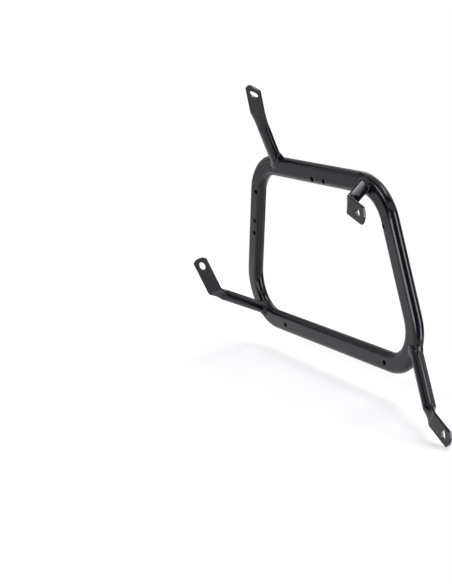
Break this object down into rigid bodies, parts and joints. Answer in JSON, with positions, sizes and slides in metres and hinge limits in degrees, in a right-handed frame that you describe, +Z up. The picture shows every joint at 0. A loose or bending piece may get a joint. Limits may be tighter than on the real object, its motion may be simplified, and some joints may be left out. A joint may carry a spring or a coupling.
{
  "type": "pannier frame",
  "caption": "Hoop of flat-oval black steel tube with splayed tubular arms ending in drilled flat tabs, made to carry one pannier beside a motorbike's seat.",
  "frame": {"origin": "middle of the hoop, on its mid-plane, half way between the top and bottom rails", "axes": "+X towards the rear along the top rail, +Y outboard, away from the motorbike, +Z up"},
  "size_m": [0.4937, 0.1141, 0.3738],
  "materials": {
    "gloss_black_paint": "gloss",
    "painted_weld": "gloss over weld ripples"
  },
  "bodies": {
    "root": {"hoop": "gloss_black_paint", "arm_top_front": "gloss_black_paint", "arm_top_rear": "gloss_black_paint", "arm_bottom_front": "gloss_black_paint", "arm_bottom_rear": "gloss_black_paint", "weld_top_front": "painted_weld", "weld_top_rear": "painted_weld", "weld_bottom_front": "painted_weld", "weld_bottom_rear": "painted_weld"}
  },
  "joints": []
}
